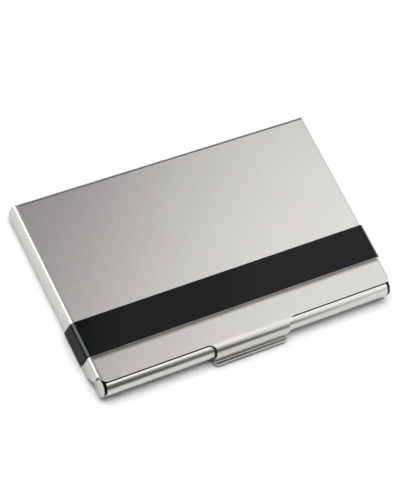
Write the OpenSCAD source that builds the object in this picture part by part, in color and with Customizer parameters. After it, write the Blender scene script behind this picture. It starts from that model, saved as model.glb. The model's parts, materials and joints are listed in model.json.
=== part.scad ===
// Business card case: a folded steel tray with a rolled front edge, and a folded steel lid that
// swings on two studs at the rear and snaps over the roll with a bent tab.
// Millimetres. X runs across the case, Y from the thumb lip (-Y) to the hinge (+Y), Z up.
// The origin is the middle of the footprint, on the plane that the case rests on.

/* [Case] */
// Width over the lid's side flanges
case_w = 94; // [93:0.5:98]
// Depth from the thumb lip's edge to the lid's rear flange
case_d = 59.5; // [59.5:0.5:64]
// Height of the lid's flat panel above the rest plane
case_h = 6.5; // [6.4:0.1:7.2]
// Thickness of the steel sheet
sheet_t = 0.45; // [0.4:0.05:0.5]

/* [Lid] */
// Outside radius of the lid's folds
lid_fold_r = 1.2; // [0.9:0.1:1.4]
// Plan radius of the lid panel's two front corners
lid_corner_r = 2; // [1:0.1:2.1]
// Distance of those corners inside the side flanges' outer faces
lid_corner_inset = 0.4; // [0.1:0.05:0.8]
// Height of the side flanges' lower edge
flange_low = 0.2; // [0.1:0.05:0.4]
// Distance of the side flanges' front end behind the panel's front edge
flange_setback = 2.15; // [2.15:0.05:2.5]
// Length and height of the chamfer at each side flange's lower front corner
flange_front_cut = [2.85, 2.5];
// Length and height of the bevel at each side flange's lower rear corner
flange_rear_cut = [2, 2];

/* [Thumb tab] */
// Width of the tab that wraps over the roll
tab_w = 23.6; // [16:0.2:34]
// Outside radius of the tab's turn over the roll
tab_fold_r = 3.25; // [3.2:0.05:3.3]
// Radius of the two inside corners where the tab leaves the panel
tab_root_r = 2.2; // [1:0.1:2.4]
// Distance of the lip's edge in front of the panel's front edge
lip_reach = 4.6; // [4.4:0.1:5.2]
// Height of the lip's underside, at its lowest
lip_low = 0.75; // [0.5:0.05:1]
// Angle at which the lip rises towards its edge
lip_tilt = 17; // [0:1:20]
// Inside radius of the fold between the tab and the lip
lip_fold_r = 0.35; // [0.2:0.05:0.5]
// Plan radius of the lip's two corners
lip_corner_r = 1.3; // [0.6:0.1:1.3]

/* [Black band] */
// Width of the band
band_w = 10.2; // [5:0.1:20]
// Distance of the band's front edge behind the panel's front edge
band_setback = 8; // [6:0.5:25]
// Thickness of the band
band_t = 0.3; // [0.2:0.05:0.5]
// Height of the band's two ends on the side flanges
band_low = 0.75; // [0.4:0.05:1.5]
// Thickness of the adhesive film under the band
film_t = 0.08; // [0.05:0.01:0.15]
// Distance that the film stays inside the band's edges
film_inset = 0.5; // [0.3:0.1:1]

/* [Base tray] */
// Outside radius of the rolled front edge
roll_r = 2.9; // [2.6:0.05:2.95]
// Distance of the roll's centre line behind the lid panel's front edge
roll_setback = 0.35; // [0.2:0.05:0.6]
// Radius of the round ears that cover the roll's ends
ear_r = 2.8; // [2.5:0.05:2.9]
// Gap between an ear and the end of the roll
ear_gap = 0.45; // [0.3:0.05:0.8]
// Gap between each side wall and the lid's flange
side_gap = 0.35; // [0.25:0.05:0.5]
// Height of the side walls
wall_h = 5.65; // [5.4:0.05:5.65]
// Outside radius of the folds between the floor and the side walls
floor_fold_r = 0.8; // [0.6:0.1:1]

/* [Hinge] */
// Distance of the hinge axis in front of the rear flange's outer face
hinge_setback = 3; // [2.9:0.05:3.1]
// Height of the hinge axis
hinge_z = 3.25; // [3.2:0.05:3.3]
// Radius of each stud's journal
pin_r = 1; // [0.8:0.05:1.2]
// Radial running clearance of the journal in the side wall's hole
pin_clearance = 0.05; // [0.02:0.01:0.08]
// Radius of the collar that spaces the side wall from the lid's flange
collar_r = 1.8; // [1.5:0.1:2.2]
// Radius of the rounded rear end of each side wall
knuckle_r = 2.4; // [2.2:0.05:2.4]

/* [Hold-open spring] */
// Length of the spring strip
spring_len = 72; // [60:1:80]
// Thickness of the spring strip
spring_t = 0.25; // [0.2:0.05:0.3]
// Height of the raised tongues' underside above the rest plane
spring_lift = 0.9; // [0.85:0.05:1]
// Spacing of the three rivets
rivet_pitch = 29; // [20:1:32]
// Radius of the rivets' shanks
rivet_r = 0.8; // [0.6:0.1:1]
// Radius of the rivets' heads
rivet_head_r = 1.5; // [1.2:0.1:1.8]

/* [Hidden] */
$fn = 72;

steel = "silver";
bright_steel = "gainsboro";
black = "#1b1c1d";

rear_y = case_d/2;                       // outer face of the lid's rear flange
panel_y = -case_d/2 + lip_reach;         // front edge of the lid's flat panel
hinge_y = rear_y - hinge_setback;
roll_y = panel_y + roll_setback;
roll_z = roll_r;                         // the roll rests on the plane z = 0
flange_y = panel_y + flange_setback;     // front end of the side flanges
corner_x = case_w/2 - lid_corner_inset;  // the panel's front corners end here

wall_x = case_w/2 - sheet_t - side_gap;  // outer face of the base's side walls
wall_y = roll_y + roll_r + 0.35;         // front end of the base's side walls
roll_half = wall_x - sheet_t - ear_gap;  // half the roll's length
floor_end_y = hinge_y - 1.55;            // rear edge of the floor: it stops the open lid's flange

tab_fold_z = case_h - tab_fold_r;        // the tab turns about a line under the panel's front edge
tab_y = panel_y - tab_fold_r;            // outer face of the tab's straight drop
lip_outer_r = lip_fold_r + sheet_t;
lip_fold_y = tab_y - lip_fold_r;         // the lip's fold turns about this line
lip_fold_z = lip_low + lip_outer_r;
lip_len = (lip_fold_y + case_d/2 - lip_outer_r*sin(lip_tilt))/cos(lip_tilt);

spring_y = hinge_y - 7.6;                // front edge of the spring strip
rivet_y = hinge_y - 5.8;
spring_rise_y = [hinge_y - 3.4, hinge_y - 2];  // the strip's step starts and ends here
spring_end_y = hinge_y - 0.4;            // tips of the tongues, inside the flange's swing
slot_w = 1.4;                            // relief slots between the tongues
spring_corner_r = 1.2;
head_t = 0.35;
sink_r = 1.2;                            // countersink under the floor
sink_t = 0.25;
over = 1;                                // how far cutters run past what they cut

// Extrudes a profile drawn in X and Z from y = y0 to y = y1
module along_y(y0, y1) {
    translate([0, y1, 0]) rotate([90, 0, 0]) linear_extrude(y1 - y0) children();
}

// Extrudes a profile drawn in Y and Z from x = x0 to x = x1
module along_x(x0, x1) {
    translate([x0, 0, 0]) rotate([90, 0, 90]) linear_extrude(x1 - x0) children();
}

// Rectangle of width w, from z0 to z1, with its two upper corners rounded
module arched(w, z0, z1, r) {
    translate([-w/2, z0]) square([w, z1 - r - z0]);
    translate([-w/2 + r, z0]) square([w - 2*r, z1 - z0]);
    for (side = [-1, 1]) translate([side*(w/2 - r), z1 - r]) circle(r);
}

// Rectangle from [y0, z0] to [y1, z1] with its upper rear corner rounded
module rear_rounded(y0, y1, z0, z1, r) {
    translate([y0, z0]) square([y1 - y0, z1 - r - z0]);
    translate([y0, z0]) square([y1 - r - y0, z1 - z0]);
    translate([y1 - r, z1 - r]) circle(r);
}

// Box folded down on its left, right and rear edges, grown inwards by inset
module folded_box(inset, y0, z0) {
    w = case_w - 2*inset;
    top = case_h - inset;
    r = lid_fold_r - inset;
    intersection() {
        along_y(y0, rear_y - inset) arched(w, z0, top, r);
        along_x(-w/2, w/2) rear_rounded(y0, rear_y - inset, z0, top, r);
    }
}

// Side view that the lid's panel and flanges are cut to
module lid_outline() {
    fold_z = case_h - lid_fold_r;
    polygon([
        [panel_y, case_h + over], [panel_y, fold_z], [flange_y, fold_z],
        [flange_y, flange_low + flange_front_cut[1]],
        [flange_y + flange_front_cut[0], flange_low],
        [rear_y - flange_rear_cut[0], flange_low],
        [rear_y, flange_low + flange_rear_cut[1]], [rear_y, case_h + over]
    ]);
}

// Leaves a round corner of radius r at a convex plan corner; [x, y] is the corner
module corner_cut(x, y, r, z0, z1) {
    side = sign(x);
    difference() {
        translate([side > 0 ? x - r : x - over, y - over, z0]) cube([r + over, r + over, z1 - z0]);
        translate([x - side*r, y + r, z0 - over]) cylinder(h = z1 - z0 + 2*over, r = r);
    }
}

// Side view of the tab: a quarter turn over the roll, a straight drop and a fold out to the rising lip
module tab_profile() {
    difference() {
        intersection() {
            translate([panel_y, tab_fold_z]) circle(tab_fold_r);
            translate([tab_y, tab_fold_z]) square([tab_fold_r + over, tab_fold_r]);
        }
        translate([panel_y, tab_fold_z]) circle(tab_fold_r - sheet_t);
        translate([panel_y, 0]) square([tab_fold_r, case_h - sheet_t]);
    }
    translate([tab_y, lip_fold_z]) square([sheet_t, tab_fold_z - lip_fold_z]);
    translate([lip_fold_y, lip_fold_z]) {
        difference() {
            intersection() {
                circle(lip_outer_r);
                polygon([
                    [0, 0], [over, 0], [over, -over], [0, -over],
                    [-over*sin(lip_tilt), -over*cos(lip_tilt)]
                ]);
            }
            circle(lip_fold_r);
        }
        rotate([0, 0, -lip_tilt]) translate([-lip_len, -lip_outer_r]) square([lip_len, sheet_t]);
    }
}

module thumb_tab() {
    root_w = tab_w + 2*tab_root_r;
    difference() {
        along_x(-root_w/2, root_w/2) tab_profile();
        for (side = [-1, 1]) {
            translate([side*root_w/2, panel_y - tab_root_r, 0]) cylinder(h = case_h + over, r = tab_root_r);
            translate([side > 0 ? tab_w/2 : -tab_w/2 - tab_root_r - over, -case_d/2 - over, -over])
                cube([tab_root_r + over, lip_reach - tab_root_r + over, case_h + 2*over]);
            corner_cut(side*tab_w/2, -case_d/2, lip_corner_r, 0, lip_fold_z + sheet_t);
        }
    }
}

module lid_shell() {
    color(steel) {
        difference() {
            intersection() {
                folded_box(0, panel_y, 0);
                along_x(-case_w/2 - over, case_w/2 + over) lid_outline();
            }
            folded_box(sheet_t, panel_y - over, -over);
            // the rear flange ends level, above the table
            translate([-case_w/2 + sheet_t, rear_y - sheet_t - over, 0])
                cube([case_w - 2*sheet_t, sheet_t + 2*over, flange_low + flange_rear_cut[1]]);
            for (side = [-1, 1]) {
                corner_cut(side*corner_x, panel_y, lid_corner_r, flange_low, case_h + over);
                translate([side > 0 ? corner_x : -case_w/2 - over, panel_y - over, flange_low])
                    cube([lid_corner_inset + over, flange_setback + over, case_h]);
            }
        }
        thumb_tab();
    }
}

// Strip that follows the lid's top and sides between two offsets from its surface
module wrapped_strip(near, far, y0, y1, z0) {
    along_y(y0, y1) difference() {
        arched(case_w + 2*far, z0, case_h + far, lid_fold_r + far);
        arched(case_w + 2*near, z0 - over, case_h + near, lid_fold_r + near);
    }
}

module accent_band() {
    y0 = panel_y + band_setback;
    color(black) wrapped_strip(film_t, film_t + band_t, y0, y0 + band_w, band_low);
}

module band_adhesive() {
    y0 = panel_y + band_setback;
    color("dimgray")
        wrapped_strip(0, film_t, y0 + film_inset, y0 + band_w - film_inset, band_low + film_inset);
}

// Side view of the rolled edge: an open curl that runs into the floor
module roll_profile() {
    difference() {
        translate([roll_y, roll_z]) circle(roll_r);
        translate([roll_y, roll_z]) circle(roll_r - sheet_t);
        translate([roll_y, -over]) square([roll_r + over, over + 1.2]);
    }
    translate([roll_y, 0]) square([wall_y - roll_y, sheet_t]);
}

// Section across the tray: floor and side walls with folded lower corners
module tray_section() {
    difference() {
        translate([0, wall_h]) mirror([0, 1]) arched(2*wall_x, 0, wall_h, floor_fold_r);
        translate([0, wall_h + over]) mirror([0, 1])
            arched(2*(wall_x - sheet_t), 0, wall_h + over - sheet_t, floor_fold_r - sheet_t);
    }
}

// Side view that the tray is cut to: full height to the floor's end, then a round knuckle
module tray_outline() {
    translate([wall_y, 0]) square([floor_end_y - wall_y, wall_h]);
    translate([floor_end_y, hinge_z - knuckle_r]) square([hinge_y - floor_end_y, 2*knuckle_r]);
    translate([hinge_y, hinge_z]) circle(knuckle_r);
}

module ear(side) {
    x0 = side > 0 ? wall_x - sheet_t : -wall_x;
    along_x(x0, x0 + sheet_t) {
        translate([roll_y, roll_z]) circle(ear_r);
        translate([roll_y, roll_z - 1.6]) square([wall_y - roll_y + 0.2, 3.1]);
    }
}

module base_tray() {
    color(steel) difference() {
        union() {
            intersection() {
                along_y(wall_y, rear_y) tray_section();
                along_x(-wall_x, wall_x) tray_outline();
            }
            along_x(-roll_half, roll_half) roll_profile();
            ear(-1);
            ear(1);
        }
        translate([-wall_x - over, hinge_y, hinge_z]) rotate([0, 90, 0])
            cylinder(h = 2*(wall_x + over), r = pin_r + pin_clearance);
        for (i = [-1:1]) translate([i*rivet_pitch, rivet_y, 0]) {
            translate([0, 0, -over]) cylinder(h = 2*over + sheet_t, r = rivet_r);
            cylinder(h = sink_t, r1 = sink_r, r2 = rivet_r);
        }
    }
}

// Stud on the inside of a side flange: a spacing collar and a journal
module hinge_pin(side) {
    flange_x = case_w/2 - sheet_t;
    color(bright_steel) translate([side*flange_x, hinge_y, hinge_z]) rotate([0, -90*side, 0]) {
        cylinder(h = side_gap - 0.05, r = collar_r);
        cylinder(h = side_gap + sheet_t + 0.35, r = pin_r);
    }
}

module hinge_pin_left() { hinge_pin(-1); }
module hinge_pin_right() { hinge_pin(1); }

// Spring strip on the floor: its raised tongues ride on the lid's rear flange when it is open
module hold_open_spring() {
    flat_z = sheet_t;
    step = [spring_rise_y[0], spring_rise_y[1]];
    slope = spring_t*0.17;
    color(bright_steel) difference() {
        along_x(-spring_len/2, spring_len/2) polygon([
            [spring_y, flat_z], [step[0], flat_z], [step[1], spring_lift], [spring_end_y, spring_lift],
            [spring_end_y, spring_lift + spring_t], [step[1] - slope, spring_lift + spring_t],
            [step[0] - slope, flat_z + spring_t], [spring_y, flat_z + spring_t]
        ]);
        for (i = [-1:1]) translate([i*rivet_pitch, rivet_y, 0]) cylinder(h = case_h, r = rivet_r);
        for (side = [-1, 1]) {
            translate([side*rivet_pitch/2 - slot_w/2, step[0] - 0.6, 0])
                cube([slot_w, rear_y, case_h]);
            corner_cut(side*spring_len/2, spring_y, spring_corner_r, 0, case_h);
            mirror([0, 1, 0]) corner_cut(side*spring_len/2, -spring_end_y, spring_corner_r, 0, case_h);
        }
    }
}

// Rivet with a low head on the strip and a tail set flush into the floor
module spring_rivet(x) {
    seat_z = sheet_t + spring_t;
    color(bright_steel) translate([x, rivet_y, 0]) {
        cylinder(h = sink_t, r1 = sink_r, r2 = rivet_r);
        cylinder(h = seat_z + head_t/2, r = rivet_r);
        translate([0, 0, seat_z]) cylinder(h = head_t, r1 = rivet_head_r, r2 = rivet_head_r*0.72);
    }
}

module spring_rivet_left() { spring_rivet(-rivet_pitch); }
module spring_rivet_centre() { spring_rivet(0); }
module spring_rivet_right() { spring_rivet(rivet_pitch); }

base_tray();
lid_shell();
accent_band();
band_adhesive();
hinge_pin_left();
hinge_pin_right();
hold_open_spring();
spring_rivet_left();
spring_rivet_centre();
spring_rivet_right();
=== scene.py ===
"""Business card case: folded sheets, turned parts, finishes and studio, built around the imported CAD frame.

A sheet is cut as a flat outline and folded along its bend lines. X runs across the case, Y from the thumb lip
(-Y) to the hinge (+Y), and Z up from the plane it rests on. Lengths are millimetres until a mesh is made.
"""

import json
import math

import bpy
import numpy as np
from mathutils import Matrix, Quaternion, Vector
from mathutils.geometry import delaunay_2d_cdt


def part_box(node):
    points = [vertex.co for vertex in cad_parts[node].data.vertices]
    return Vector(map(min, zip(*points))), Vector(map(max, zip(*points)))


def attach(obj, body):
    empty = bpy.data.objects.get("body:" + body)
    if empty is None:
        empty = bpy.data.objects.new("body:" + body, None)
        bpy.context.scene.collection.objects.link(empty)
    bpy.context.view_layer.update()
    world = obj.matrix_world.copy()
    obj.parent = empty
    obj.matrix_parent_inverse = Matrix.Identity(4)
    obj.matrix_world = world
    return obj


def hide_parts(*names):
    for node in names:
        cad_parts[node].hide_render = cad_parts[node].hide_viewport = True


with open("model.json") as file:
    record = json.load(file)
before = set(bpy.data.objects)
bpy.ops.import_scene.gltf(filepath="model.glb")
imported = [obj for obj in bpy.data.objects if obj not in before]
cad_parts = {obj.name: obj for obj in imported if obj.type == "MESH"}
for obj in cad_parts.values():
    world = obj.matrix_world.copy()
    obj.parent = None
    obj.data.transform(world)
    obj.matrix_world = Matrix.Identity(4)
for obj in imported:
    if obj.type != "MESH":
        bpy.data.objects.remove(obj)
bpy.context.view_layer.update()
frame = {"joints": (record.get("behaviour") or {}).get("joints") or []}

# ---------------------------------------------------------------- sizes, mm
MM = 0.001                       # a millimetre in metres
QUARTER = math.pi / 2            # a right angle


def box_mm(node):
    """Lowest and highest corner of a CAD node, in millimetres."""
    low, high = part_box(node)
    return low / MM, high / MM


lid_low, lid_high = box_mm("lid_shell")
tray_low, tray_high = box_mm("base_tray")
band_low, band_high = box_mm("accent_band")
film_low, film_high = box_mm("band_adhesive")
spring_low, spring_high = box_mm("hold_open_spring")
hinge_y, hinge_z = [value / MM for value in frame["joints"][0]["pos_m"][1:]]

SHEET_T = 0.45                   # thickness of the lid's and the tray's sheet
EDGE_R = 0.07                    # rounding of a cut edge
EDGE_TILTS = (30, 60, 90)        # degrees from a sheet's face at which that rounding has points

LID_FOLD_R = 1.2                 # outside radius of the lid's folds
LID_CORNER_R = 2.0               # plan radius of the panel's front corners
LID_CORNER_INSET = 0.4           # the corners' distance inside the flanges' outer faces
LIP_REACH = 4.6                  # from the lip's edge back to the panel's front edge
FLANGE_SETBACK = 2.15            # from the panel's front edge back to a side flange
FLANGE_FRONT_CUT = (2.85, 2.5)   # length and height of the bevel at a side flange's front
FLANGE_REAR_CUT = 2.0            # bevel at a side flange's rear, above which the rear flange ends
FLANGE_ROOT_R = 0.12             # rounding where a side flange leaves the panel's front corner
FLANGE_LOW_R = 0.5               # rounding of the front bevel's lower end
FLANGE_BEVEL_R = 0.4             # rounding of the front bevel's upper end and the rear bevel's lower end
MITRE_GAP = 0.02                 # from the line between two folds to the cut edge on each side of it
MITRE_START = math.radians(10)   # turn of the folds at which the cut starts
MITRE_END_R = 0.15               # rounding where it ends

TAB_HALF = 11.8                  # half the tab's width
TAB_FOLD_R = 3.25                # outside radius of the tab's turn over the roll
TAB_ROOT_R = 2.2                 # plan radius where the tab leaves the panel
TAB_DROP = 1.7                   # upright part of the tab
LIP_FOLD_R = 0.35                # inside radius of the fold from the tab to the lip
LIP_TILT = math.radians(17)      # rise of the lip towards its edge
LIP_CORNER_R = 1.3

FLOOR_FOLD_R = 0.8               # outside radius of the folds from the floor to the side walls
ROLL_R = 2.9                     # outside radius of the rolled front edge
ROLL_TURN = 305.9                # degrees that the front edge curls through
ROLL_END_GAP = 0.45              # from the roll to an ear
ROLL_CORNER_R = 0.5
WALL_GAP = 0.35                  # from the roll's rear to the side walls
WALL_GAP_R = 0.25                # rounding of that gap's inner corner
WALL_H = 5.65
WALL_CORNER_R = 0.6
EAR_R = 2.8                      # round plate over each of the roll's ends
EAR_NECK = (1.3, 4.4)            # heights of the neck that joins an ear to its wall
EAR_NECK_R = 0.3
EAR_FREE = 0.4                   # distance in front of the walls past which the sides have no fold
KNUCKLE_R = 2.4                  # round end of a side wall, about the hinge
KNUCKLE_ROOT_R = 0.3             # rounding between it and the floor
BORE_R = 1.05                    # hinge holes in the side walls
FLOOR_END = 1.55                 # from the floor's rear edge to the hinge axis
CREASE_SPARE = 0.05              # how far the roll's creases reach past its ends

BAND_EDGE_R = 0.08
FILM_EDGE_R = 0.02
STRIP_CORNER_R = 0.3             # of the band and its film

SPRING_RISE = 0.45               # height of the tongues' step
SPRING_SLOPE = 20                # degrees, of the step
SPRING_FOLD_R = 0.6              # inside radius of the step's folds
SPRING_STEP = 3.4                # from the step's start to the hinge axis
SPRING_CORNER_R = 1.2
SPRING_EDGE_R = 0.05
SLOT_HALF = 0.7                  # half the width of the slots between the tongues
SLOT_PAST_STEP = 0.6             # how far the slots reach in front of the step
SLOT_END_R = 0.69
SLOT_MOUTH_R = 0.5

STUD_COLLAR = (1.8, 0.3)         # radius and height of a hinge stud's collar
STUD_JOURNAL = (1.0, 1.15)       # radius and height of its journal
STUD_EASE = 0.12                 # rounding of its corners
RIVET_PITCH = 29.0
RIVET_INSET = 1.8                # from the spring strip's front edge to the rivets
RIVET_R = 0.8
RIVET_HEAD = (1.5, 0.35)         # radius and height of a rivet's head
RIVET_RIM = 0.1                  # height of the head's rim, below its dome
RIVET_RIM_EASE = (0.06, 0.05)    # bevel under that rim
RIVET_TAIL = (0.95, 0.22)        # radius of the flared tail, and the height at which the flare starts
RIVET_SUNK = 0.01                # the tail's height above the rest plane

panel_y = lid_low.y + LIP_REACH
roll_y = tray_low.y + ROLL_R
roll_half = tray_high.x - SHEET_T - ROLL_END_GAP
wall_y = roll_y + ROLL_R + WALL_GAP
floor_end_y = hinge_y - FLOOR_END
rivet_y = spring_low.y + RIVET_INSET
spring_t = spring_high.z - spring_low.z - SPRING_RISE


# ---------------------------------------------------------------- folded sheets
def straight(length):
    """A leg of a path: its length and the angle it turns through."""
    return length, 0.0


def bend(radius, turn):
    """A curved leg. A positive turn, in degrees, is to the left."""
    return radius * abs(math.radians(turn)), math.radians(turn)


class Path:
    """The section of a sheet's outer face, as a line in a plane.

    outside is 1 where the outer side is on the left of travel, and -1 where it is on the right.
    """

    def __init__(self, start, heading, outside, legs):
        self.start = Vector(start)
        self.heading = math.radians(heading)
        self.outside = outside
        self.legs = legs

    def at(self, distance):
        """Point, direction and outward normal. Past either end the path runs straight on."""
        point, angle, left = self.start.copy(), self.heading, distance
        for length, turn in self.legs:
            step = min(left, length)
            if step <= 0:
                break
            if turn:
                rate = turn / length
                end = angle + rate * step
                point += Vector((math.sin(end) - math.sin(angle), math.cos(angle) - math.cos(end))) / rate
                angle = end
            else:
                point += step * Vector((math.cos(angle), math.sin(angle)))
            left -= step
        direction = Vector((math.cos(angle), math.sin(angle)))
        normal = self.outside * Vector((-direction.y, direction.x))
        return point + left * direction, direction, normal

    def lines(self, step=6):
        """Distances at which the sheet is creased to follow the path's curves."""
        found, start = [], 0.0
        for length, turn in self.legs:
            count = math.ceil(abs(math.degrees(turn)) / step)
            found += [start + length * i / count for i in range(count + 1)] if count else []
            start += length
        return found


class Sheet:
    """How a flat sheet folds.

    u runs across it, v from front to rear, and depth goes in from the outer face. Past side_u the sheet
    follows side, past rear_v it follows rear, and in front of front_v it follows front, whose creases reach
    front_half to both sides. In front of free_v its sides follow free_side. corner_r is the outside radius of
    two folds that meet at a mitre. up is 1 if the outer face looks up, and -1 if it looks down.
    """

    def __init__(self, level, up, thickness=SHEET_T, corner_r=1.0):
        self.level = level
        self.up = up
        self.thickness = thickness
        self.corner_r = corner_r
        self.side, self.side_u = None, math.inf
        self.front, self.front_v, self.front_half = None, -math.inf, math.inf
        self.rear, self.rear_v = None, math.inf
        self.free_side, self.free_v = None, -math.inf

    def place(self, u, v, depth):
        """Folded point, outward normal, and the directions that u and v take there."""
        over_u, over_v = abs(u) - self.side_u, v - self.rear_v
        if over_u > max(0.0, over_v):
            hand = math.copysign(1, u)
            v -= max(0.0, over_v) * depth / self.corner_r
            path = self.free_side if v < self.free_v else self.side
            p, d, n = path.at(over_u)
            point, normal = Vector((hand * p.x, v, p.y)), Vector((hand * n.x, 0, n.y))
            across, along = Vector((d.x, 0, hand * d.y)), Vector((0, 1, 0))
        elif over_v > 0:
            u -= math.copysign(max(0.0, over_u), u) * depth / self.corner_r
            p, d, n = self.rear.at(over_v)
            point, normal = Vector((u, p.x, p.y)), Vector((0, n.x, n.y))
            across, along = Vector((1, 0, 0)), Vector((0, d.x, d.y))
        elif v < self.front_v:
            p, d, n = self.front.at(self.front_v - v)
            point, normal = Vector((u, p.x, p.y)), Vector((0, n.x, n.y))
            across, along = Vector((1, 0, 0)), Vector((0, -d.x, -d.y))
        else:
            point, normal = Vector((u, v, self.level)), Vector((0, 0, self.up))
            across, along = Vector((1, 0, 0)), Vector((0, 1, 0))
        return point - depth * normal, normal, across, along

    def creases(self):
        """Lines that the mesh has to follow: (axis held, its value, range of the other axis)."""
        found = []
        if self.side:
            for s in self.side.lines():
                found += [(0, hand * (self.side_u + s), self.free_v, self.rear_v + s) for hand in (-1, 1)]
        if self.rear:
            found += [(1, self.rear_v + s, -self.side_u - s, self.side_u + s) for s in self.rear.lines()]
        if self.front:
            found += [(1, self.front_v - s, -self.front_half, self.front_half) for s in self.front.lines(5)]
        return found


def arc(centre, radius, start, end, step=8):
    """Corners along an arc, in degrees, that need no rounding of their own."""
    count = math.ceil(abs(end - start) / step)
    angles = [math.radians(start + (end - start) * i / count) for i in range(count + 1)]
    return [(centre[0] + radius * math.cos(a), centre[1] + radius * math.sin(a), 0) for a in angles]


def mirrored(right_half):
    """A whole outline from its right half, which is listed from front to rear."""
    return right_half + [(-u, v, r) for u, v, r in reversed(right_half)]


def fillet(before, corner, after, radius, step):
    """Points of the arc that rounds a corner between two others."""
    back = (before - corner).normalized()
    on = (after - corner).normalized()
    half = back.angle(on) / 2
    centre = corner + (back + on).normalized() * radius / math.sin(half)
    spoke = corner + back * radius / math.tan(half) - centre
    turn = math.copysign(math.pi - 2 * half, -back.cross(on))
    count = max(2, math.ceil(math.degrees(abs(turn)) / step))
    return [centre + Matrix.Rotation(turn * k / count, 2) @ spoke for k in range(count + 1)]


def rounded(corners, step=12):
    """Closed line of points through corners (u, v, radius)."""
    points = []
    for i, (u, v, radius) in enumerate(corners):
        corner = Vector((u, v))
        if not radius:
            points.append(corner)
            continue
        before = Vector(corners[i - 1][:2])
        after = Vector(corners[(i + 1) % len(corners)][:2])
        points += fillet(before, corner, after, radius, step)
    return points


def inset(points, edge):
    """Each point moved in by edge, paired with the way back out. The outline's outside is on its right."""
    found = []
    for i, point in enumerate(points):
        before = (point - points[i - 1]).normalized()
        after = (points[(i + 1) % len(points)] - point).normalized()
        out_1, out_2 = Vector((before.y, -before.x)), Vector((after.y, -after.x))
        out = (out_1 + out_2) / (1 + out_1.dot(out_2))
        found.append((point - edge * out, out))
    return found


def crossings(loop, axis, value):
    """The loop with a vertex wherever it crosses a crease."""
    found = []
    for (p, out_p), (q, out_q) in zip(loop, loop[1:] + loop[:1]):
        found.append((p, out_p))
        if (p[axis] <= value) != (q[axis] <= value):
            t = (value - p[axis]) / (q[axis] - p[axis])
            cut = p.lerp(q, t)
            cut[axis] = value
            found.append((cut, out_p.lerp(out_q, t)))
    return found


def crease_edges(points, loops_ids, creases):
    """Index pairs along the creases. Points are added where a crease ends inside the sheet."""
    lookup = {(round(p[0], 5), round(p[1], 5)): i for i, p in enumerate(points)}
    pairs = []

    def index(axis, value, other):
        p = (value, other) if axis == 0 else (other, value)
        key = (round(p[0], 5), round(p[1], 5))
        if key not in lookup:
            lookup[key] = len(points)
            points.append(Vector(p))
        return lookup[key]

    for axis, value, low, high in creases:
        met = set()
        for ids in loops_ids:
            met |= {points[i][1 - axis] for i in ids if abs(points[i][axis] - value) < 1e-6}
        met = sorted(met)
        for start, end in zip(met[::2], met[1::2]):
            start, end = max(start, low), min(end, high)
            if end - start > 1e-4:
                pairs.append((index(axis, value, start), index(axis, value, end)))
    return pairs


def inside(points, loops):
    """Which points lie inside an odd number of loops."""
    x, y = points[:, 0][:, None], points[:, 1][:, None]
    hits = np.zeros(len(points), int)
    for loop in loops:
        a = np.array([tuple(p) for p, _ in loop])
        b = np.roll(a, -1, axis=0)
        spans = (a[:, 1] > y) != (b[:, 1] > y)
        with np.errstate(divide="ignore", invalid="ignore"):
            at = a[:, 0] + (y - a[:, 1]) * (b[:, 0] - a[:, 0]) / (b[:, 1] - a[:, 1])
        hits += (spans & (x < at)).sum(axis=1)
    return hits % 2 == 1


def turns_left(a, b, c):
    """Whether three flat points run anticlockwise."""
    return (b - a).cross(c - b) > 0


def triangulate(loops, creases):
    """Flat points, triangles, and each loop as pairs of a point's index and its way out."""
    for axis, value, _, _ in creases:
        loops = [crossings(loop, axis, value) for loop in loops]
    points, loops_ids = [], []
    for loop in loops:
        loops_ids.append(list(range(len(points), len(points) + len(loop))))
        points += [p for p, _ in loop]
    edges = [pair for ids in loops_ids for pair in zip(ids, ids[1:] + ids[:1])]
    edges += crease_edges(points, loops_ids, creases)
    verts, _, faces, origins, _, _ = delaunay_2d_cdt(points, edges, [], 0, 1e-7)
    new_index = {old: new for new, olds in enumerate(origins) for old in olds}
    centres = np.array([np.mean([verts[i][:] for i in face], axis=0) for face in faces])
    faces = [list(face) for face, kept in zip(faces, inside(centres, loops)) if kept]
    faces = [face if turns_left(*(verts[i] for i in face[:3])) else face[::-1] for face in faces]
    rims = [[(new_index[i], out) for i, (_, out) in zip(ids, loop)] for ids, loop in zip(loops_ids, loops)]
    return verts, faces, rims


class Builder:
    """Collects the vertices of a folded sheet with their exact normals and their place on the flat sheet."""

    def __init__(self, sheet):
        self.sheet = sheet
        self.points, self.normals, self.flat, self.rim, self.faces = [], [], [], [], []

    def vertex(self, u, v, depth, tilt=0.0, out=None, facing=1):
        """Adds a vertex. tilt turns its normal from the sheet's face towards the edge's outside."""
        point, normal, across, along = self.sheet.place(u, v, depth)
        normal = normal * facing
        if out is not None:
            level = (out.x * across + out.y * along).normalized()
            normal = math.cos(tilt) * normal + math.sin(tilt) * level
        self.points.append(point * MM)
        self.normals.append(normal.normalized())
        self.flat.append((u * MM, v * MM, depth * MM))
        self.rim.append(math.sin(tilt))
        return len(self.points) - 1

    def face(self, ids):
        """Adds a face whose front is the sheet's outer side."""
        self.faces.append(ids if self.sheet.up > 0 else ids[::-1])

    def mesh(self, name):
        """The finished mesh, shaded with the exact normals."""
        mesh = bpy.data.meshes.new(name)
        mesh.from_pydata(self.points, [], self.faces)
        mesh.validate()
        flat = mesh.attributes.new("flat", "FLOAT_VECTOR", "POINT")
        flat.data.foreach_set("vector", np.array(self.flat, np.float32).ravel())
        rim = mesh.attributes.new("rim", "FLOAT", "POINT")
        rim.data.foreach_set("value", np.array(self.rim, np.float32))
        mesh.shade_smooth()
        mesh.normals_split_custom_set_from_vertices(self.normals)
        return mesh


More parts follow.
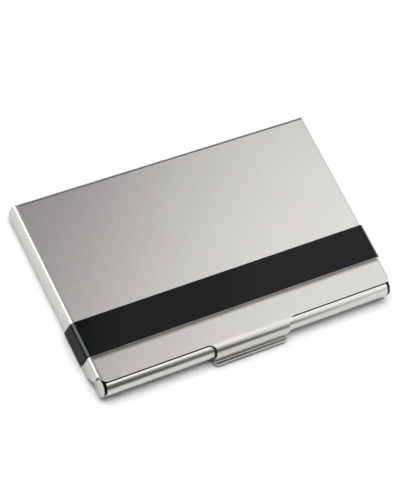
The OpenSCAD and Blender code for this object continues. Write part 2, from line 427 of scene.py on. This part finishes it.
def folded(name, sheet, outline, holes=(), edge=EDGE_R):
    """Object made of a folded sheet with rounded cut edges."""
    loops = [inset(rounded(corners), edge) for corners in (outline, *holes)]
    verts, faces, rims = triangulate(loops, sheet.creases())
    builder = Builder(sheet)
    outer = [builder.vertex(v.x, v.y, 0) for v in verts]
    inner = [builder.vertex(v.x, v.y, sheet.thickness, facing=-1) for v in verts]
    for face in faces:
        builder.face([outer[i] for i in face])
        builder.face([inner[i] for i in reversed(face)])
    for rim in rims:
        add_cut_edge(builder, verts, rim, edge, outer, inner)
    return add_object(name, builder.mesh(name))


def add_cut_edge(builder, verts, rim, radius, outer, inner):
    """Faces round one cut edge, from the sheet's outer face to its inner face."""
    tilts = [math.radians(angle) for angle in EDGE_TILTS]
    rings = [[outer[i] for i, _ in rim]]
    rings += [rim_ring(builder, verts, rim, radius, tilt, 1) for tilt in tilts]
    rings += [rim_ring(builder, verts, rim, radius, tilt, -1) for tilt in reversed(tilts)]
    rings.append([inner[i] for i, _ in rim])
    for upper, lower in zip(rings, rings[1:]):
        for i in range(len(rim)):
            j = (i + 1) % len(rim)
            builder.face([upper[i], lower[i], lower[j], upper[j]])


def rim_ring(builder, verts, rim, radius, tilt, facing):
    """One ring of vertices round a cut edge, on its outer or its inner rounding."""
    drop = radius * (1 - math.cos(tilt))
    depth = drop if facing > 0 else builder.sheet.thickness - drop
    ring = []
    for i, out in rim:
        place = verts[i] + out * radius * math.sin(tilt)
        ring.append(builder.vertex(place.x, place.y, depth, tilt, out, facing))
    return ring


def add_object(name, mesh):
    """Links a new object to the scene."""
    obj = bpy.data.objects.new(name, mesh)
    bpy.context.scene.collection.objects.link(obj)
    return obj


# ---------------------------------------------------------------- lid
def lid_sheet():
    """Panel folded down at its sides and rear, and turned over the roll at its tab."""
    top = lid_high.z
    sheet = Sheet(top, 1, corner_r=LID_FOLD_R)
    sheet.side_u = lid_high.x - LID_FOLD_R
    sheet.side = Path((sheet.side_u, top), 0, 1, [bend(LID_FOLD_R, -90)])
    sheet.rear_v = lid_high.y - LID_FOLD_R
    sheet.rear = Path((sheet.rear_v, top), 0, 1, [bend(LID_FOLD_R, -90)])
    sheet.front_v = panel_y
    sheet.front_half = TAB_HALF + TAB_ROOT_R
    sheet.front = Path((panel_y, top), 180, -1, [
        bend(TAB_FOLD_R, 90), straight(TAB_DROP), bend(LIP_FOLD_R, -90 - math.degrees(LIP_TILT))])
    return sheet


def lip_edge_v():
    """Flat place of the lip's edge."""
    fold_v = panel_y - TAB_FOLD_R * QUARTER - TAB_DROP - LIP_FOLD_R * (QUARTER + LIP_TILT)
    reach = LIP_REACH - TAB_FOLD_R - LIP_FOLD_R - (LIP_FOLD_R + SHEET_T) * math.sin(LIP_TILT)
    return fold_v - reach / math.cos(LIP_TILT)


def tab_root():
    """Curve from the tab to the panel's front edge: round in plan, and laid flat off the tab's fold."""
    points = []
    for a in np.linspace(0, QUARTER, 9):
        u = TAB_HALF + TAB_ROOT_R - TAB_ROOT_R * math.cos(a)
        ahead = TAB_ROOT_R * (1 - math.sin(a))
        points.append((u, panel_y - TAB_FOLD_R * math.asin(ahead / TAB_FOLD_R), 0))
    return points


def front_corner(sheet):
    """The panel's front corner: round in plan, and laid flat off the side fold."""
    points = []
    for a in np.linspace(-QUARTER, 0, 11):
        over = lid_high.x - LID_CORNER_INSET - LID_CORNER_R * (1 - math.cos(a)) - sheet.side_u
        if over > 0:
            over = LID_FOLD_R * math.asin(min(1, over / LID_FOLD_R))
        points.append((sheet.side_u + over, panel_y + LID_CORNER_R * (1 + math.sin(a)), 0))
    return points


def rear_mitre(sheet):
    """The gap between the side flange and the rear flange, from its end in and out again."""
    turns = np.linspace(QUARTER, MITRE_START, 14)
    inner_r = LID_FOLD_R - MITRE_GAP
    side = [(sheet.side_u + LID_FOLD_R * a, sheet.rear_v + inner_r * math.sin(a), 0) for a in turns]
    rear = [(sheet.side_u + inner_r * math.sin(a), sheet.rear_v + LID_FOLD_R * a, 0) for a in turns[::-1]]
    return side + rear


def lid_outline(sheet):
    """Flat outline of the lid."""
    flange = LID_FOLD_R * QUARTER + lid_high.z - LID_FOLD_R - lid_low.z
    low_u = sheet.side_u + flange
    flange_v = panel_y + FLANGE_SETBACK
    inner_r = LID_FOLD_R - MITRE_GAP
    corner = front_corner(sheet)
    right = [(TAB_HALF, lip_edge_v(), LIP_CORNER_R)]
    right += tab_root() + corner
    right += [
        (corner[-1][0], flange_v, FLANGE_ROOT_R),
        (low_u - FLANGE_FRONT_CUT[1], flange_v, FLANGE_BEVEL_R),
        (low_u, flange_v + FLANGE_FRONT_CUT[0], FLANGE_LOW_R),
        (low_u, lid_high.y - FLANGE_REAR_CUT, FLANGE_BEVEL_R),
        (low_u - FLANGE_REAR_CUT, sheet.rear_v + inner_r, MITRE_END_R),
    ]
    right += rear_mitre(sheet)
    right.append((sheet.side_u + inner_r, sheet.rear_v + flange - FLANGE_REAR_CUT, MITRE_END_R))
    return mirrored(right)


# ---------------------------------------------------------------- base tray
def tray_sheet():
    """Floor with its side walls folded up and its front edge rolled."""
    sheet = Sheet(tray_low.z, -1)
    sheet.side_u = tray_high.x - FLOOR_FOLD_R
    sheet.side = Path((sheet.side_u, 0), 0, -1, [bend(FLOOR_FOLD_R, 90)])
    sheet.free_side = Path((tray_high.x, FLOOR_FOLD_R - FLOOR_FOLD_R * QUARTER), 90, -1, [])
    sheet.free_v = wall_y - EAR_FREE
    sheet.front_v = roll_y
    sheet.front_half = roll_half + CREASE_SPARE
    sheet.front = Path((roll_y, 0), 180, 1, [bend(ROLL_R, -ROLL_TURN)])
    return sheet


def wall_u(sheet, height):
    """Flat place of a height on a side wall."""
    return sheet.side_u + FLOOR_FOLD_R * QUARTER + height - FLOOR_FOLD_R


def ear_angle(height):
    """Where an ear's circle is at a height, in degrees from its top."""
    rise = height - ROLL_R
    return math.degrees(math.atan2(math.sqrt(EAR_R ** 2 - rise ** 2), rise))


def tray_outline(sheet):
    """Flat outline of the tray."""
    neck_low, neck_high = EAR_NECK
    right = [
        (roll_half, roll_y - ROLL_R * math.radians(ROLL_TURN), ROLL_CORNER_R),
        (roll_half, wall_y, WALL_GAP_R),
        (wall_u(sheet, neck_low), wall_y, EAR_NECK_R),
    ]
    right += arc((wall_u(sheet, ROLL_R), roll_y), EAR_R, ear_angle(neck_low), ear_angle(neck_high) + 360)
    right.append((wall_u(sheet, neck_high), wall_y, EAR_NECK_R))
    right.append((wall_u(sheet, WALL_H), wall_y, WALL_CORNER_R))
    right += arc((wall_u(sheet, hinge_z), hinge_y), KNUCKLE_R, 0, 180)
    right.append((wall_u(sheet, hinge_z - KNUCKLE_R), floor_end_y, KNUCKLE_ROOT_R))
    return mirrored(right)


def round_hole(u, v, radius, step=15):
    """Outline of a round hole, listed clockwise."""
    return arc((u, v), radius, 0, -360, step)[:-1]


def rivet_holes():
    """Holes for the rivets, in the floor and in the spring strip."""
    return [round_hole(i * RIVET_PITCH, rivet_y, RIVET_R) for i in (-1, 0, 1)]


def tray_holes(sheet):
    """Hinge bores in the walls and rivet holes in the floor."""
    bores = [round_hole(hand * wall_u(sheet, hinge_z), hinge_y, BORE_R) for hand in (-1, 1)]
    return bores + rivet_holes()


# ---------------------------------------------------------------- band and film
def wrap_sheet(high, thickness):
    """Strip that wraps the lid's top and sides, outside it by the same amount all round."""
    proud = high.z - lid_high.z
    sheet = Sheet(high.z, 1, thickness)
    sheet.side_u = lid_high.x - LID_FOLD_R
    sheet.side = Path((sheet.side_u, high.z), 0, 1, [bend(LID_FOLD_R + proud, -90)])
    return sheet


def wrap_outline(sheet, low, high):
    """Flat outline of a strip between two corners of its box."""
    fold_r = high.z - (lid_high.z - LID_FOLD_R)
    end_u = sheet.side_u + fold_r * QUARTER + lid_high.z - LID_FOLD_R - low.z
    return mirrored([(end_u, low.y, STRIP_CORNER_R), (end_u, high.y, STRIP_CORNER_R)])


# ---------------------------------------------------------------- spring
def spring_sheet():
    """Strip whose rear tongues step up from the floor."""
    outer_r = SPRING_FOLD_R + spring_t
    slope = math.radians(SPRING_SLOPE)
    ramp = (SPRING_RISE - (SPRING_FOLD_R + outer_r) * (1 - math.cos(slope))) / math.sin(slope)
    sheet = Sheet(spring_low.z + spring_t, 1, spring_t)
    sheet.rear_v = hinge_y - SPRING_STEP
    sheet.rear = Path((sheet.rear_v, sheet.level), 0, 1, [
        bend(SPRING_FOLD_R, SPRING_SLOPE), straight(ramp), bend(outer_r, -SPRING_SLOPE)])
    return sheet


def spring_outline(sheet):
    """Flat outline with two relief slots between its three tongues."""
    step_length = sheet.rear.lines()[-1]
    step_end, _, _ = sheet.rear.at(step_length)
    end_v = sheet.rear_v + step_length + spring_high.y - step_end.x
    slot_v = sheet.rear_v - SLOT_PAST_STEP
    slot_low, slot_high = RIVET_PITCH / 2 - SLOT_HALF, RIVET_PITCH / 2 + SLOT_HALF
    right = [
        (spring_high.x, spring_low.y, SPRING_CORNER_R),
        (spring_high.x, end_v, SPRING_CORNER_R),
        (slot_high, end_v, SLOT_MOUTH_R),
        (slot_high, slot_v, SLOT_END_R),
        (slot_low, slot_v, SLOT_END_R),
        (slot_low, end_v, SLOT_MOUTH_R),
    ]
    return mirrored(right)


# ---------------------------------------------------------------- turned parts
SHARP_ANGLE = math.radians(32)


def turned(name, profile, origin, axis, segments=64):
    """Turned piece. profile lists (radius, height) along axis and starts and ends on it."""
    turn = Vector((0, 0, 1)).rotation_difference(Vector(axis))
    place = Vector(origin)
    points, rings = [], []
    for radius, height in profile:
        count = segments if radius > 0 else 1
        rings.append(list(range(len(points), len(points) + count)))
        for i in range(count):
            a = 2 * math.pi * i / segments
            local = Vector((radius * math.cos(a), radius * math.sin(a), height))
            points.append((place + turn @ local) * MM)
    faces = []
    for low, high in zip(rings, rings[1:]):
        for i in range(segments):
            j = (i + 1) % segments
            ids = [low[i % len(low)], low[j % len(low)], high[j % len(high)], high[i % len(high)]]
            faces.append(list(dict.fromkeys(ids)))
    mesh = bpy.data.meshes.new(name)
    mesh.from_pydata(points, [], faces)
    mesh.validate()
    mesh.shade_smooth()
    mesh.set_sharp_from_angle(angle=SHARP_ANGLE)
    return add_object(name, mesh)


def eased(profile, radius, step=30):
    """The profile with its inner corners rounded."""
    corners = [Vector(corner) for corner in profile]
    points = [corners[0]]
    for before, corner, after in zip(corners, corners[1:], corners[2:]):
        points += fillet(before, corner, after, radius, step)
    return points + [corners[-1]]


def hinge_pin(name, hand):
    """Stud on the inside of a side flange: a spacing collar and a journal with an eased end."""
    collar_r, collar_h = STUD_COLLAR
    journal_r, journal_h = STUD_JOURNAL
    profile = [(0, 0), (collar_r, 0), (collar_r, collar_h), (journal_r, collar_h), (journal_r, journal_h),
               (0, journal_h)]
    start = (hand * (lid_high.x - SHEET_T), hinge_y, hinge_z)
    return turned(name, eased(profile, STUD_EASE), start, (-hand, 0, 0))


def rivet_dome(top):
    """Profile of the dome on a rivet's head, from its rim to its top."""
    head_r, head_h = RIVET_HEAD
    rise = head_h - RIVET_RIM
    sphere_r = (head_r ** 2 + rise ** 2) / (2 * rise)
    half = math.asin(head_r / sphere_r)
    points = [(sphere_r * math.sin(half * k), top - sphere_r * (1 - math.cos(half * k)))
              for k in np.linspace(1, 0, 9)[:-1]]
    return points + [(0, top)]


def spring_rivet(name, x):
    """Rivet with a low domed head on the spring and a tail set flush into the floor."""
    head_r, head_h = RIVET_HEAD
    tail_r, flare_z = RIVET_TAIL
    ease_r, ease_h = RIVET_RIM_EASE
    seat = spring_low.z + spring_t
    tail = [(0, RIVET_SUNK), (tail_r, RIVET_SUNK), (RIVET_R, flare_z), (RIVET_R, seat)]
    rim = [(head_r - ease_r, seat), (head_r, seat + ease_h)]
    return turned(name, tail + rim + rivet_dome(seat + head_h), (x, rivet_y, 0), (0, 0, 1))


# ---------------------------------------------------------------- materials
class Finish:
    """A material and short ways to add nodes to it."""

    def __init__(self, name, **sockets):
        self.material = bpy.data.materials.new(name)
        self.material.use_nodes = True
        self.tree = self.material.node_tree
        self.shader = self.tree.nodes["Principled BSDF"]
        for socket, value in sockets.items():
            self.shader.inputs[socket.replace("_", " ")].default_value = value

    def node(self, kind, **inputs):
        """A node, with its inputs given as values or as other nodes' outputs."""
        node = self.tree.nodes.new("ShaderNode" + kind)
        for name, value in inputs.items():
            self.feed(node.inputs[name.replace("_", " ")], value)
        return node

    def feed(self, socket, value):
        """Sets a socket to a value, or links an output to it."""
        if isinstance(value, bpy.types.NodeSocket):
            self.tree.links.new(value, socket)
        else:
            socket.default_value = value

    def attribute(self, name):
        """A node that reads one of the mesh's attributes."""
        node = self.node("Attribute")
        node.attribute_name = name
        return node

    def flat(self):
        """Place on the flat sheet: u, v and depth, in metres."""
        return self.attribute("flat").outputs["Vector"]

    def along(self, axis):
        """One coordinate of the place on the flat sheet, in millimetres: 0 is u, 1 is v and 2 is depth."""
        split = self.node("SeparateXYZ", Vector=self.flat())
        return self.math("DIVIDE", split.outputs[axis], MM)

    def across(self):
        """Distance from the sheet's middle line, in millimetres."""
        return self.math("ABSOLUTE", self.along(0))

    def rim(self):
        """1 on a cut edge and 0 on the sheet's faces."""
        return self.attribute("rim").outputs["Fac"]

    def local(self):
        """Place in the object."""
        return self.node("TexCoord").outputs["Object"]

    def noise(self, vector, per_mm, stretch=(1, 1, 1), detail=3.0, distortion=0.0):
        """Noise with a number of grains for each millimetre, along each axis."""
        scale = [s * per_mm / MM for s in stretch]
        mapping = self.node("Mapping", Vector=vector, Scale=scale)
        noise = self.node("TexNoise", Vector=mapping.outputs[0], Scale=1.0, Detail=detail,
                          Distortion=distortion)
        return noise.outputs["Fac"]

    def span(self, value, low, high, start=0.0, end=1.0):
        """Maps start..end to low..high and clamps."""
        node = self.node("MapRange", Value=value, From_Min=start, From_Max=end, To_Min=low, To_Max=high)
        return node.outputs["Result"]

    def vary(self, noise, low=0.0, high=1.0):
        """Maps the middle of a noise's range to low..high."""
        return self.span(noise, low, high, 0.3, 0.7)

    def operation(self, kind, name, *inputs):
        """A maths node with its inputs."""
        node = self.node(kind)
        node.operation = name
        for socket, value in zip(node.inputs, inputs):
            self.feed(socket, value)
        return node

    def math(self, name, *inputs):
        """One maths step."""
        return self.operation("Math", name, *inputs).outputs[0]

    def vector(self, name, *inputs):
        """One vector step. Its outputs are a vector and, for a length, a value."""
        return self.operation("VectorMath", name, *inputs)

    def product(self, result, *factors):
        """Several values multiplied."""
        for factor in factors:
            result = self.math("MULTIPLY", result, factor)
        return result

    def mix(self, factor, a, b):
        """Blend of two colours."""
        node = self.node("Mix")
        node.data_type = "RGBA"
        self.feed(node.inputs[0], factor)
        self.feed(node.inputs[6], a)
        self.feed(node.inputs[7], b)
        return node.outputs[2]

    def bump(self, height, distance, strength):
        """Bump whose distance is in millimetres."""
        return self.node("Bump", Height=height, Distance=distance * MM, Strength=strength).outputs["Normal"]

    def wear(self, **sockets):
        """Links outputs to the shader's sockets and returns the material."""
        for socket, value in sockets.items():
            self.feed(self.shader.inputs[socket.replace("_", " ")], value)
        return self.material


# Colours painted in as shade: near-black in the gaps, greys on the lip, the front strip and the band's edge.
PAINTED_SHADE_DARK = (0.012, 0.011, 0.010, 1)
LIP_SHADE_GREY = (0.22, 0.215, 0.205, 1)
FRONT_STRIP_SHADE_GREY = (0.28, 0.277, 0.27, 1)
BAND_SHADOW_GREY = (0.135, 0.125, 0.108, 1)


def strip_between(f, place, before, after, spread):
    """1 between two places on a sheet, in millimetres, fading out past both."""
    rising = f.span(place, 0, 1, before - spread, before)
    falling = f.span(place, 1, 0, after, after + spread)
    return f.product(rising, falling)


def satin_steel(name, smooth, dull):
    """Satin stainless sheet: a fine grain, a faint cloud and edges rubbed brighter.

    Its roughness runs from smooth to dull. Returns the finish, the colour and the roughness.
    """
    f = Finish(name, Metallic=1.0)
    flat = f.flat()
    grain = f.noise(flat, 1.6, (0.25, 5.0, 1.0), 3)
    cloud = f.noise(flat, 0.05, detail=2)
    steel = f.mix(f.span(grain, 0, 1, 0.25, 0.75), (0.565, 0.557, 0.540, 1), (0.590, 0.583, 0.565, 1))
    colour = f.mix(f.span(f.rim(), 0, 1, 0.0, 0.5), steel, (0.80, 0.79, 0.77, 1))
    rough = f.math("ADD", f.span(grain, smooth, dull, 0.25, 0.75), f.vary(cloud, -0.01, 0.01))
    f.wear(Normal=f.bump(grain, 0.0003, 0.35))
    return f, colour, rough


def front_edge_painted_shade(f, v):
    """1 on the cut edges over the roll, where the gap's shade is painted: the panel's front, its corners and
    the sides of the tab's turn.
    """
    cut = f.span(f.rim(), 0, 1, 0.6, 0.9)
    return f.product(cut, strip_between(f, v, panel_y - TAB_FOLD_R * 1.3, panel_y + LID_CORNER_R, 0.2))


def lip_painted_shade(f, v):
    """How much shade is painted on the thumb lip: most in its fold, less on its cut edge, and least on its
    flat part.
    """
    drop_v = panel_y - TAB_FOLD_R * QUARTER - TAB_DROP
    lip = f.span(v, 1, 0, drop_v - 0.3, drop_v + 0.3)
    fold = f.span(v, 0.05, 0.60, drop_v - 1.0, drop_v - 0.5)
    cut = f.span(f.rim(), 0, 0.35, 0.2, 0.7)
    return f.product(lip, f.math("MAXIMUM", fold, cut))


def outer_face_varied(f):
    """Nearly 1 on the sheet's outer face, varied by a faint noise, and 0 on its inner face. It keeps painted
    shade off the inner face.
    """
    smear = f.noise(f.flat(), 0.6, (0.3, 1.5, 1.0), 4)
    return f.product(f.span(f.along(2), 1, 0, 0.1, 0.3), f.vary(smear, 0.85, 1.0))


def band_edge_painted_shadow(f, v):
    """1 along the band's front edge, on the lid's top, where the band's shadow is painted."""
    line = strip_between(f, v, band_low.y - 0.75, band_low.y + 2, 0.9)
    return f.product(line, f.span(f.across(), 1, 0, lid_high.x - 1.2, lid_high.x - 0.7))


def lid_steel():
    """The lid's steel, smoother on the tab, with shade painted on the thumb lip, in front of the band, along
    the band's front edge and on the cut edges over the roll.
    """
    f, colour, rough = satin_steel("lid_steel", 0.25, 0.28)
    v = f.along(1)
    outside = outer_face_varied(f)
    # Painted shade: the strip in front of the band darkened grey, on the outer face.
    front_strip_shade = f.product(f.span(v, 0.17, 0.0, band_low.y - 0.5, band_low.y + 0.5), outside)
    # Painted shade: the cut edges over the roll darkened near-black, as the gap's shadow.
    colour = f.mix(front_edge_painted_shade(f, v), colour, PAINTED_SHADE_DARK)
    # Painted shade: the thumb lip darkened grey.
    colour = f.mix(lip_painted_shade(f, v), colour, LIP_SHADE_GREY)
    colour = f.mix(front_strip_shade, colour, FRONT_STRIP_SHADE_GREY)
    # Painted shadow: a dark grey line along the band's front edge.
    colour = f.mix(f.product(band_edge_painted_shadow(f, v), outside), colour, BAND_SHADOW_GREY)
    polish = f.span(v, 0.08, 0.0, panel_y - 1.5, panel_y)
    return f.wear(Base_Color=colour, Roughness=f.math("SUBTRACT", rough, polish))


def ear_edge_painted_shade(f, v):
    """1 on an ear's cut edge, where shade is painted."""
    wall_x = tray_high.x - SHEET_T
    beside = f.span(f.across(), 0, 1, wall_x - 0.3, wall_x - 0.1)
    ahead = f.span(v, 1, 0, roll_y + ROLL_R, roll_y + ROLL_R + 0.5)
    return f.product(beside, ahead, f.span(f.rim(), 0, 1, 0.2, 0.7))


def tray_steel():
    """The tray's steel, with shade painted near-black where the roll runs under the lid's front edge and on
    the ears' cut edges.
    """
    f, colour, rough = satin_steel("tray_steel", 0.19, 0.22)
    v = f.along(1)
    top_v = roll_y - ROLL_R * math.pi
    # Painted shade on the roll's top, under the lid's front edge.
    roll_painted_shade = strip_between(f, v, top_v - 2.0, top_v + 0.47, 0.12)
    colour = f.mix(roll_painted_shade, colour, PAINTED_SHADE_DARK)
    # Painted shade: the ears' cut edges darkened near-black.
    colour = f.mix(ear_edge_painted_shade(f, v), colour, PAINTED_SHADE_DARK)
    return f.wear(Base_Color=colour, Roughness=rough)


def satin_black():
    """Smooth satin black coat: a faint cloud, dull edges and sides, and a paler painted highlight along the
    folds.
    """
    f = Finish("satin_black", Metallic=0.0, Specular_IOR_Level=0.155)
    flat = f.flat()
    cloud = f.noise(flat, 0.12, detail=4)
    grain = f.noise(flat, 2.0, (0.3, 4.0, 1.0), 3)
    base = f.mix(f.vary(cloud), (0.0004, 0.0012, 0.0016, 1), (0.0008, 0.0020, 0.0026, 1))
    across = f.across()
    fold_u = lid_high.x - LID_FOLD_R
    # Painted highlight: a paler line along the band's folds.
    fold_painted_highlight = strip_between(f, across, fold_u + 0.75, fold_u + 1.1, 0.25)
    colour = f.mix(fold_painted_highlight, base, (0.10, 0.115, 0.115, 1))
    colour = f.mix(f.rim(), colour, (0.0002, 0.0002, 0.0002, 1))
    gloss = f.math("ADD", f.vary(grain, 0.10, 0.13), f.vary(cloud, -0.01, 0.01))
    sides = f.span(across, 0.0, 0.4, fold_u + 1.6, fold_u + 2.6)
    rough = f.math("ADD", f.math("ADD", gloss, sides), f.span(f.rim(), 0.0, 0.5, 0.4, 0.9))
    return f.wear(Base_Color=colour, Roughness=rough, Normal=f.bump(grain, 0.0008, 0.4))


def spring_steel():
    """Cold-rolled strip with rolling lines along its length."""
    f = Finish("spring_steel", Metallic=1.0)
    flat = f.flat()
    lines = f.noise(flat, 1.0, (0.12, 7.0, 1.0), 4)
    cloud = f.noise(flat, 0.15, detail=3)
    steel = f.mix(f.vary(cloud), (0.52, 0.50, 0.47, 1), (0.64, 0.62, 0.59, 1))
    colour = f.mix(f.rim(), steel, (0.78, 0.77, 0.75, 1))
    return f.wear(Base_Color=colour, Roughness=f.vary(lines, 0.18, 0.30), Normal=f.bump(lines, 0.005, 0.5))


def turned_steel(name, centre, axis):
    """Bright steel with fine turning rings round its axis. axis is 0, 1 or 2."""
    f = Finish(name, Metallic=1.0)
    off_axis = tuple(0.0 if i == axis else 1.0 for i in range(3))
    place = f.vector("SUBTRACT", f.local(), tuple(value * MM for value in centre))
    spoke = f.vector("MULTIPLY", place.outputs[0], off_axis)
    radius = f.vector("LENGTH", spoke.outputs[0]).outputs["Value"]
    rings = f.noise(f.node("CombineXYZ", X=radius).outputs[0], 14.0, detail=3)
    specks = f.noise(f.local(), 3.0, detail=4)
    colour = f.mix(f.vary(specks), (0.68, 0.67, 0.65, 1), (0.82, 0.81, 0.79, 1))
    rough = f.math("ADD", f.vary(rings, 0.14, 0.26), f.vary(specks, -0.02, 0.05))
    return f.wear(Base_Color=colour, Roughness=rough, Normal=f.bump(rings, 0.006, 0.6))


def tape_film():
    """Matt grey adhesive film with a mottled, slightly soft surface."""
    f = Finish("tape_film", Metallic=0.0, Specular_IOR_Level=0.3)
    mottle = f.noise(f.flat(), 1.5, detail=5, distortion=0.6)
    colour = f.mix(f.vary(mottle), (0.05, 0.05, 0.052, 1), (0.10, 0.10, 0.104, 1))
    return f.wear(Base_Color=colour, Roughness=f.vary(mottle, 0.45, 0.65), Normal=f.bump(mottle, 0.01, 0.5))


def floor_material():
    """Plain pale paper."""
    f = Finish("floor_paper", Roughness=0.9, Specular_IOR_Level=0.1)
    speck = f.noise(f.local(), 0.4, detail=5)
    return f.wear(Base_Color=f.mix(f.vary(speck), (0.86, 0.86, 0.86, 1), (0.88, 0.88, 0.88, 1)))


# ---------------------------------------------------------------- assembly
def keep(piece, material, body, slot, *nodes):
    """Gives a piece its material and its body, and hides the CAD nodes it stands for. slot is not used."""
    piece.data.materials.append(material)
    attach(piece, body)
    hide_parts(*nodes)


def build_lid():
    """The lid: panel, flanges, tab and thumb lip in one piece."""
    lid = lid_sheet()
    keep(folded("lid_shell_skin", lid, lid_outline(lid)), lid_steel(), "lid", "satin_steel", "lid_shell")


def build_tray():
    """The tray: floor, walls, ears and roll in one piece."""
    tray = tray_sheet()
    piece = folded("base_tray_skin", tray, tray_outline(tray), tray_holes(tray))
    keep(piece, tray_steel(), "tray", "satin_steel", "base_tray")


def build_band():
    """The black band, and the adhesive film between it and the lid."""
    band = wrap_sheet(band_high, band_high.z - film_high.z)
    piece = folded("accent_band_skin", band, wrap_outline(band, band_low, band_high), edge=BAND_EDGE_R)
    keep(piece, satin_black(), "lid", "black_band", "accent_band")
    film = wrap_sheet(film_high, film_high.z - lid_high.z)
    piece = folded("band_adhesive_skin", film, wrap_outline(film, film_low, film_high), edge=FILM_EDGE_R)
    keep(piece, tape_film(), "lid", "adhesive_film", "band_adhesive")


def build_spring():
    """The strip that holds the lid open."""
    spring = spring_sheet()
    piece = folded("hold_open_spring_skin", spring, spring_outline(spring), rivet_holes(), SPRING_EDGE_R)
    keep(piece, spring_steel(), "tray", "spring_steel", "hold_open_spring")


def build_turned():
    """Two hinge studs on the lid, and three rivets through the spring and the floor."""
    for word, hand in (("left", -1), ("right", 1)):
        node = "hinge_pin_" + word
        metal = turned_steel("turned_" + word, (0, hinge_y, hinge_z), 0)
        keep(hinge_pin(node + "_turned", hand), metal, "lid", "bright_steel", node)
    for word, i in (("left", -1), ("centre", 0), ("right", 1)):
        node = "spring_rivet_" + word
        metal = turned_steel("rivet_" + word, (i * RIVET_PITCH, rivet_y, 0), 2)
        keep(spring_rivet(node + "_turned", i * RIVET_PITCH), metal, "tray", "bright_steel", node)


# ---------------------------------------------------------------- studio
ROOM_LIGHT = ((0.0, 0.95), (0.10, 0.88), (0.25, 0.19), (0.50, 0.09), (0.78, 0.14), (0.94, 0.62))
FLOOR_HALF = 4000.0      # mm, as all the places and sizes in the studio
TOP_TURN = -36.9         # degrees, of the boxes over the case
SUN_STRENGTH = 3.15
SUN_SPREAD = math.radians(50)
SUN_HEADING = (40, -225, -640)
CAMERA_AIM = (-0.8, 2.25, 3.0)
CAMERA_DISTANCE = 625.4
CAMERA_AZIMUTH = math.radians(-58.61)
CAMERA_ELEVATION = math.radians(57.08)
CAMERA_ROLL = math.radians(35.55)
CAMERA_LENS = 165.0


def add_floor():
    """Pale floor on the plane the case rests on."""
    half = FLOOR_HALF * MM
    corners = [(-half, -half, 0), (half, -half, 0), (half, half, 0), (-half, half, 0)]
    mesh = bpy.data.meshes.new("floor")
    mesh.from_pydata(corners, [], [(0, 1, 2, 3)])
    floor = add_object("floor", mesh)
    mesh.materials.append(floor_material())


def add_world():
    """Soft room light: a bright horizon, dimmer walls and a middling ceiling. It shows only in reflections.

    ROOM_LIGHT pairs the height of a direction, from 0 at the horizon to 1 overhead, with its brightness. The
    darker a direction is, the more its light leans to purple.
    """
    world = bpy.data.worlds.new("studio")
    world.use_nodes = True
    tree = world.node_tree
    direction = tree.nodes.new("ShaderNodeTexCoord")
    split = tree.nodes.new("ShaderNodeSeparateXYZ")
    ramp = tree.nodes.new("ShaderNodeValToRGB")
    tree.links.new(direction.outputs["Generated"], split.inputs[0])
    tree.links.new(split.outputs["Z"], ramp.inputs[0])
    tree.links.new(ramp.outputs["Color"], tree.nodes["Background"].inputs["Color"])
    elements = ramp.color_ramp.elements
    while len(elements) < len(ROOM_LIGHT):
        elements.new(0.5)
    for element, (height, level) in zip(elements, ROOM_LIGHT):
        element.position = height
        element.color = (level, level * (0.92 + 0.08 * level), level * (0.96 + 0.04 * level), 1)
    world.cycles_visibility.diffuse = False
    bpy.context.scene.world = world


def add_light(light):
    """Links a light to the scene and returns its object."""
    obj = bpy.data.objects.new(light.name, light)
    bpy.context.scene.collection.objects.link(obj)
    return obj


def add_softbox(name, place, size, radiance, aim=None, on_floor=True):
    """Rectangular soft light. on_floor says if it lights the floor as well as showing in reflections.

    It faces aim, or straight down if there is none, turned by TOP_TURN about the vertical.
    """
    light = bpy.data.lights.new(name, "AREA")
    light.shape = "RECTANGLE"
    light.size, light.size_y = size[0] * MM, size[1] * MM
    light.energy = radiance * math.pi * light.size * light.size_y
    obj = add_light(light)
    obj.location = Vector(place) * MM
    if aim is None:
        obj.rotation_euler = (0, 0, math.radians(TOP_TURN))
    else:
        obj.rotation_euler = (Vector(aim) - Vector(place)).to_track_quat("-Z", "Y").to_euler()
    obj.visible_diffuse = on_floor


def add_floor_sun():
    """Soft even light from high behind the case. It lights the floor and isn't seen in reflections."""
    light = bpy.data.lights.new("floor_sun", "SUN")
    light.energy = SUN_STRENGTH
    light.angle = SUN_SPREAD
    obj = add_light(light)
    obj.rotation_euler = Vector(SUN_HEADING).to_track_quat("-Z", "Y").to_euler()
    obj.visible_glossy = False


def add_camera():
    """Camera that looks down on the case over its front left corner, turned about its own axis."""
    azimuth, elevation = CAMERA_AZIMUTH, CAMERA_ELEVATION
    away = Vector((math.sin(azimuth) * math.cos(elevation),
                   -math.cos(azimuth) * math.cos(elevation),
                   math.sin(elevation)))
    data = bpy.data.cameras.new("camera")
    data.lens = CAMERA_LENS
    data.clip_start = 10 * MM
    camera = bpy.data.objects.new("camera", data)
    camera.location = Vector(CAMERA_AIM) * MM + CAMERA_DISTANCE * MM * away
    camera.rotation_mode = "QUATERNION"
    camera.rotation_quaternion = (-away).to_track_quat("-Z", "Y") @ Quaternion((0, 0, 1), CAMERA_ROLL)
    bpy.context.scene.collection.objects.link(camera)
    bpy.context.scene.camera = camera


def build_studio():
    """Floor, light and camera."""
    bpy.context.scene.view_settings.view_transform = "Standard"
    add_floor()
    add_world()
    add_softbox("box_top", (319, -27, 420), (437, 520), 0.76)
    add_softbox("box_top_core", (346, -47, 421), (378, 520), 0.44)
    add_softbox("box_right", (520, 60, 200), (500, 360), 1.0, aim=(0, 60, 200), on_floor=False)
    add_softbox("box_front_right", (386, -286, 230), (330, 460), 0.95, aim=(193, -15, 230), on_floor=False)
    add_softbox("box_left", (-380, 150, 185), (260, 330), 2.6, aim=(0, 0, 0))
    add_floor_sun()
    add_camera()


build_lid()
build_tray()
build_band()
build_spring()
build_turned()
build_studio()
